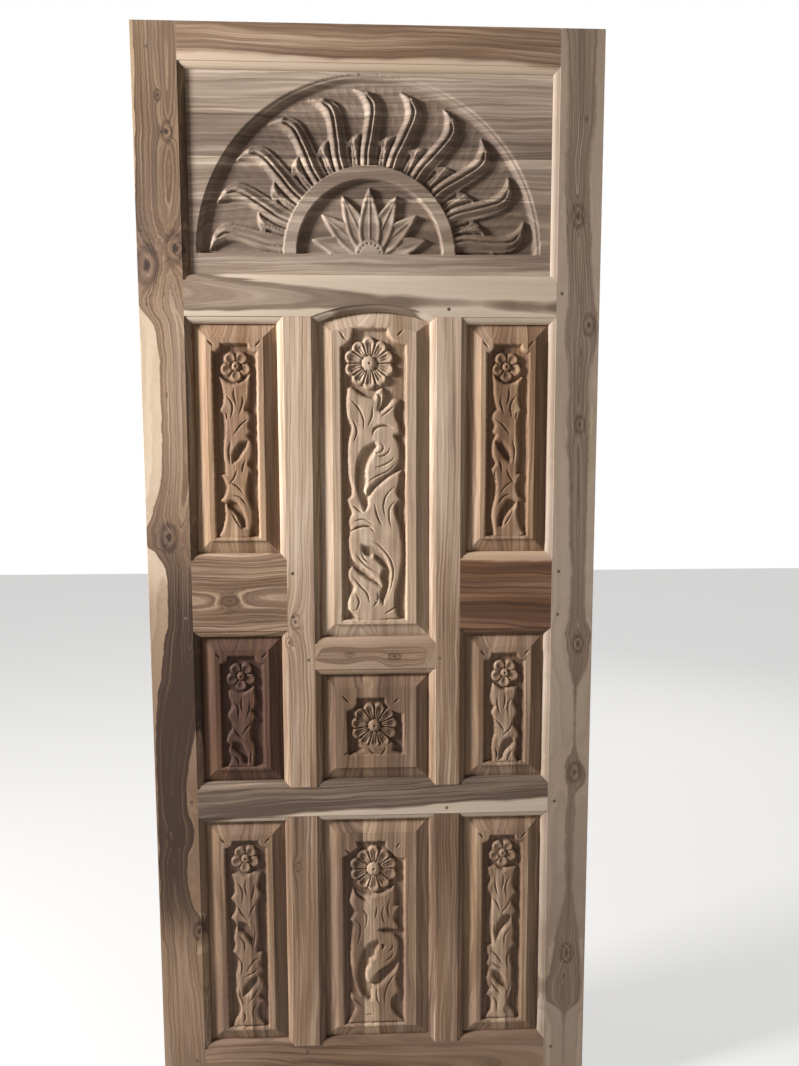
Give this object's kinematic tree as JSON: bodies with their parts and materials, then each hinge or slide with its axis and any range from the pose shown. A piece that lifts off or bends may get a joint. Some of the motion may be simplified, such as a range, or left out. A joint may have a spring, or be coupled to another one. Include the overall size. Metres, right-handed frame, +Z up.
{
  "type": "carved panel door leaf",
  "caption": "Carved wooden temple door leaf: a pinned stile-and-rail frame, a half sun with flame rays at the top, and raised panels carved with flowers on leafy stems.",
  "frame": {"origin": "middle of the leaf's bottom edge, halfway through its thickness", "axes": "+Z up along the leaf's height, +X along its width to the right as seen from the carved side, -Y out of the carved face"},
  "size_m": [0.838, 0.035, 2.057],
  "materials": {
    "frame_wood": "raw, sanded, matte",
    "dark_rail_wood": "raw, sanded, matte",
    "panel_wood": "raw, sanded, matte",
    "sun_panel_wood": "raw, sanded, matte",
    "pin_wood": "raw, sanded, matte"
  },
  "bodies": {
    "root": {"bottom_rail": "frame_wood", "center_cross_rail": "frame_wood", "frieze_rail": "frame_wood", "joint_pins": "pin_wood", "left_lock_rail": "dark_rail_wood", "left_stile": "frame_wood", "lower_center_panel": "panel_wood", "lower_left_muntin": "frame_wood", "lower_left_panel": "panel_wood", "lower_rail": "frame_wood", "lower_right_muntin": "frame_wood", "lower_right_panel": "panel_wood", "middle_center_panel": "panel_wood", "middle_left_panel": "panel_wood", "middle_right_panel": "panel_wood", "right_lock_rail": "dark_rail_wood", "right_stile": "frame_wood", "sun_panel": "sun_panel_wood", "top_rail": "frame_wood", "upper_center_panel": "panel_wood", "upper_left_muntin": "frame_wood", "upper_left_panel": "panel_wood", "upper_right_muntin": "frame_wood", "upper_right_panel": "panel_wood"}
  },
  "joints": []
}
